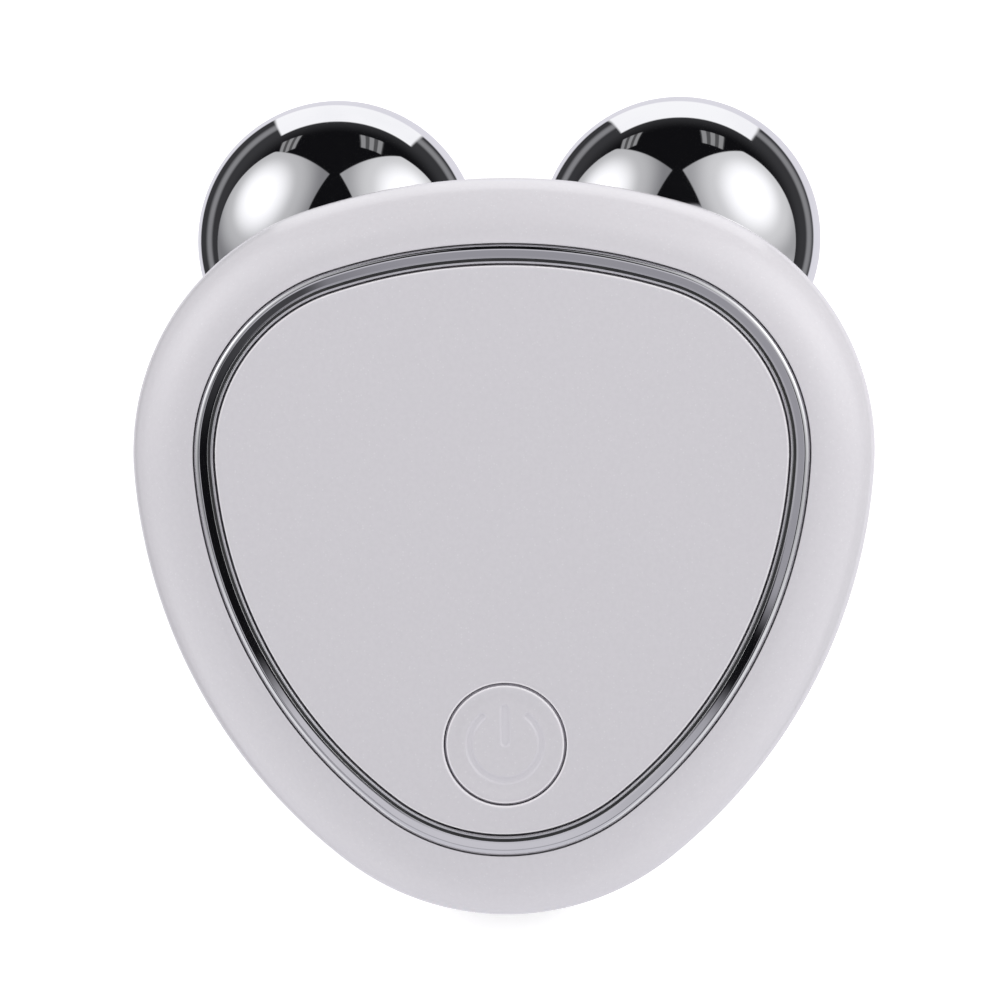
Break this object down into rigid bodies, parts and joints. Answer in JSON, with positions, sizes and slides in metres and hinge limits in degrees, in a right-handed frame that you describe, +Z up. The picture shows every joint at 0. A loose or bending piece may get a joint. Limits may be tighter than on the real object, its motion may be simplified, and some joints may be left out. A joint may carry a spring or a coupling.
{
  "type": "facial roller",
  "caption": "Palm-sized facial massage roller: rounded pearl-white case with a chrome trim ring, flat front panel, round power button and a pair of free-turning chrome balls.",
  "frame": {"origin": "middle of the plan of the part, on the table that it lies on with both balls and its tail", "axes": "+Z up from the table, +Y from the narrow tail towards the balls, +X to the right as seen from the front panel; the panel leans towards -Y by the tilt that the balls give"},
  "size_m": [0.06, 0.0714, 0.0382],
  "materials": {
    "pearl_white": "satin pearl",
    "symbol_white": "frosted",
    "chrome": "mirror plated",
    "brass": "turned",
    "steel": "plain",
    "black_plastic": "moulded",
    "switch_plunger": "moulded",
    "board_green": "solder mask",
    "led_lens": "clear",
    "inner_frame": "moulded",
    "cell_foil": "foil pouch",
    "foam": "closed-cell foam",
    "lead_red": "insulation",
    "lead_black": "insulation"
  },
  "bodies": {
    "case": {"front_shell": "pearl_white", "back_shell": "pearl_white", "trim_ring": "chrome", "front_panel": "pearl_white", "tact_switch_body": "black_plastic", "circuit_board": "board_green", "indicator_led": "led_lens", "controller_chip": "black_plastic", "charging_chip": "black_plastic", "inductor": "black_plastic", "charging_socket": "steel", "socket_tongue": "black_plastic", "battery": "cell_foil", "battery_pad": "foam", "battery_lead_positive": "lead_red", "battery_lead_negative": "lead_black", "roller_bracket": "inner_frame", "ring_contact_pin": "brass", "case_screws": "steel", "board_screws": "steel", "bracket_screws": "steel", "left_axle_screw": "steel", "left_thrust_washer": "steel", "left_axle_insert": "brass", "left_neck_collar": "pearl_white", "left_roller_contact": "brass", "right_axle_screw": "steel", "right_thrust_washer": "steel", "right_axle_insert": "brass", "right_neck_collar": "pearl_white", "right_roller_contact": "brass"},
    "left_roller": {"left_roller_ball": "chrome", "left_ball_cap": "chrome", "left_ball_bush": "brass"},
    "right_roller": {"right_roller_ball": "chrome", "right_ball_cap": "chrome", "right_ball_bush": "brass"},
    "button": {"power_button": "pearl_white", "symbol_light_guide": "symbol_white"},
    "switch_plunger": {"tact_switch_plunger": "switch_plunger"}
  },
  "joints": [
    {"name": "left_roller_spin", "type": "hinge", "parent": "case", "child": "left_roller", "pos_m": [-0.01425, 0.024, 0.01175], "axis": [-0.3916, 0.8126, -0.4317], "continuous": true},
    {"name": "right_roller_spin", "type": "hinge", "parent": "case", "child": "right_roller", "pos_m": [0.01425, 0.024, 0.01175], "axis": [0.3916, 0.8126, -0.4317], "continuous": true},
    {"name": "button_press", "type": "slide", "parent": "case", "child": "button", "axis": [0, 0.4741, -0.8805], "range_m": [0, 0.0005], "stiffness_N_per_m": 2000, "springref_m": -0.0003},
    {"name": "switch_plunger_press", "type": "slide", "parent": "case", "child": "switch_plunger", "axis": [0, 0.4741, -0.8805], "range_m": [0, 0.0005]}
  ],
  "couplings": [
    {"joint": "switch_plunger_press", "follows": "button_press", "ratio": 1}
  ]
}
